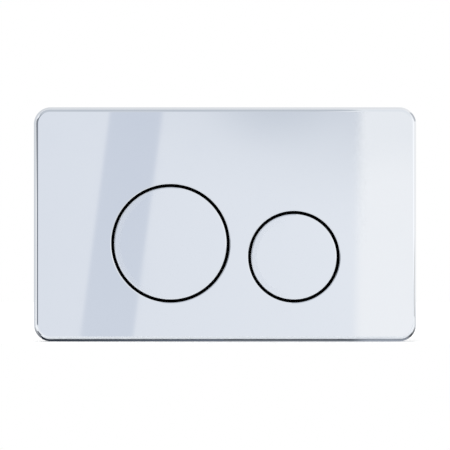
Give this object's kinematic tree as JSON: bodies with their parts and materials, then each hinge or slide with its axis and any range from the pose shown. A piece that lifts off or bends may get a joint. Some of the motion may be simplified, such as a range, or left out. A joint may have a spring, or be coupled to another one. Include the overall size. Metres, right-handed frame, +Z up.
{
  "type": "flush button plate",
  "caption": "Rectangular chrome cover plate for a concealed cistern, with a large and a small round press button set flush in black rings.",
  "frame": {"origin": "centre of the mounting frame's seat on the wall", "axes": "+X to the right as seen from the room, +Y into the wall, +Z up; the buttons face -Y"},
  "size_m": [0.245, 0.072, 0.15],
  "materials": {
    "chrome": "bright chrome plating on plastic",
    "black_plastic": "fine moulded grain",
    "grey_plastic": "fine moulded grain",
    "white_plastic": "smooth moulded",
    "steel": "bright stainless"
  },
  "bodies": {
    "plate": {"cover_plate": "chrome", "button_carrier": "black_plastic", "carrier_screws": "steel", "mounting_frame": "grey_plastic", "upper_left_clip": "steel", "upper_right_clip": "steel", "lower_left_clip": "steel", "lower_right_clip": "steel", "left_fixing_rod": "white_plastic", "right_fixing_rod": "white_plastic", "left_washer": "steel", "right_washer": "steel", "left_thumb_nut": "white_plastic", "right_thumb_nut": "white_plastic", "large_return_spring": "steel", "small_return_spring": "steel"},
    "large_button": {"large_button_cap": "chrome", "large_button_slider": "black_plastic", "large_cap_screws": "steel", "large_push_rod": "white_plastic", "large_lock_nut": "white_plastic"},
    "small_button": {"small_button_cap": "chrome", "small_button_slider": "black_plastic", "small_cap_screws": "steel", "small_push_rod": "white_plastic", "small_lock_nut": "white_plastic"}
  },
  "joints": [
    {"name": "large_button_press", "type": "slide", "parent": "plate", "child": "large_button", "axis": [0, 1, 0], "range_m": [0, 0.006], "stiffness_N_per_m": 500, "springref_m": -0.004, "deforming": ["large_return_spring"]},
    {"name": "small_button_press", "type": "slide", "parent": "plate", "child": "small_button", "axis": [0, 1, 0], "range_m": [0, 0.006], "stiffness_N_per_m": 500, "springref_m": -0.004, "deforming": ["small_return_spring"]}
  ]
}
